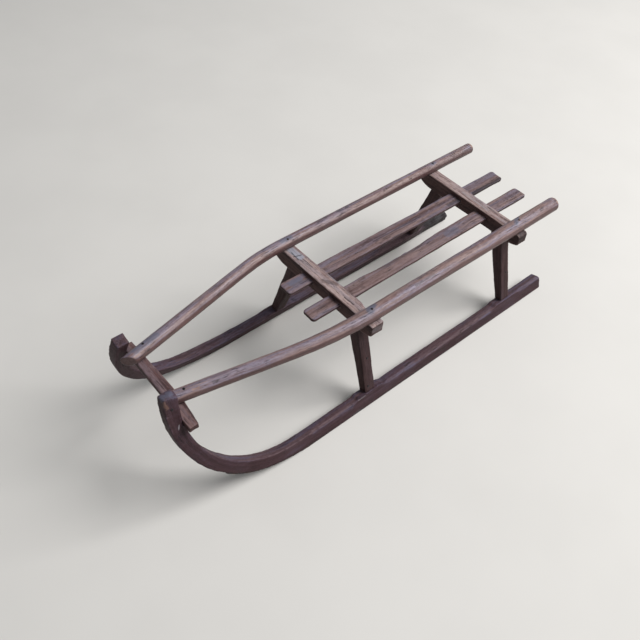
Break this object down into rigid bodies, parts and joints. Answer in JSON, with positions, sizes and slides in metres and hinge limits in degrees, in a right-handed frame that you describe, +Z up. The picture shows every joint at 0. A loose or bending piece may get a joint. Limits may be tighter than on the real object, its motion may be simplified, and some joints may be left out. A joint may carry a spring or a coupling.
{
  "type": "wooden sled",
  "caption": "Old hand-made wooden sled with inward-leaning side frames, curled runners on iron shoes, round side rails, crossbeams, seat slats and a front bar to tow it by",
  "frame": {"origin": "on the floor below the middle of the overall length and width", "axes": "+X forward to the curled tips, +Y to the left side, +Z up"},
  "size_m": [1.057, 0.3542, 0.2933],
  "materials": {
    "runner_wood": "weathered dark stain",
    "post_wood": "weathered dark stain",
    "beam_wood": "weathered dark stain, worn on top",
    "rail_wood": "weathered dark stain, worn by hands",
    "slat_wood": "weathered dark stain, worn on top",
    "bar_wood": "weathered dark stain",
    "shoe_iron": "dark rusted iron strip"
  },
  "bodies": {
    "root": {"runner_left": "runner_wood", "runner_right": "runner_wood", "shoe_left": "shoe_iron", "shoe_right": "shoe_iron", "post_front_left": "post_wood", "post_front_right": "post_wood", "post_rear_left": "post_wood", "post_rear_right": "post_wood", "crossbeam_front": "beam_wood", "crossbeam_rear": "beam_wood", "rail_left": "rail_wood", "rail_right": "rail_wood", "slat_left": "slat_wood", "slat_right": "slat_wood", "front_bar": "bar_wood"}
  },
  "joints": []
}
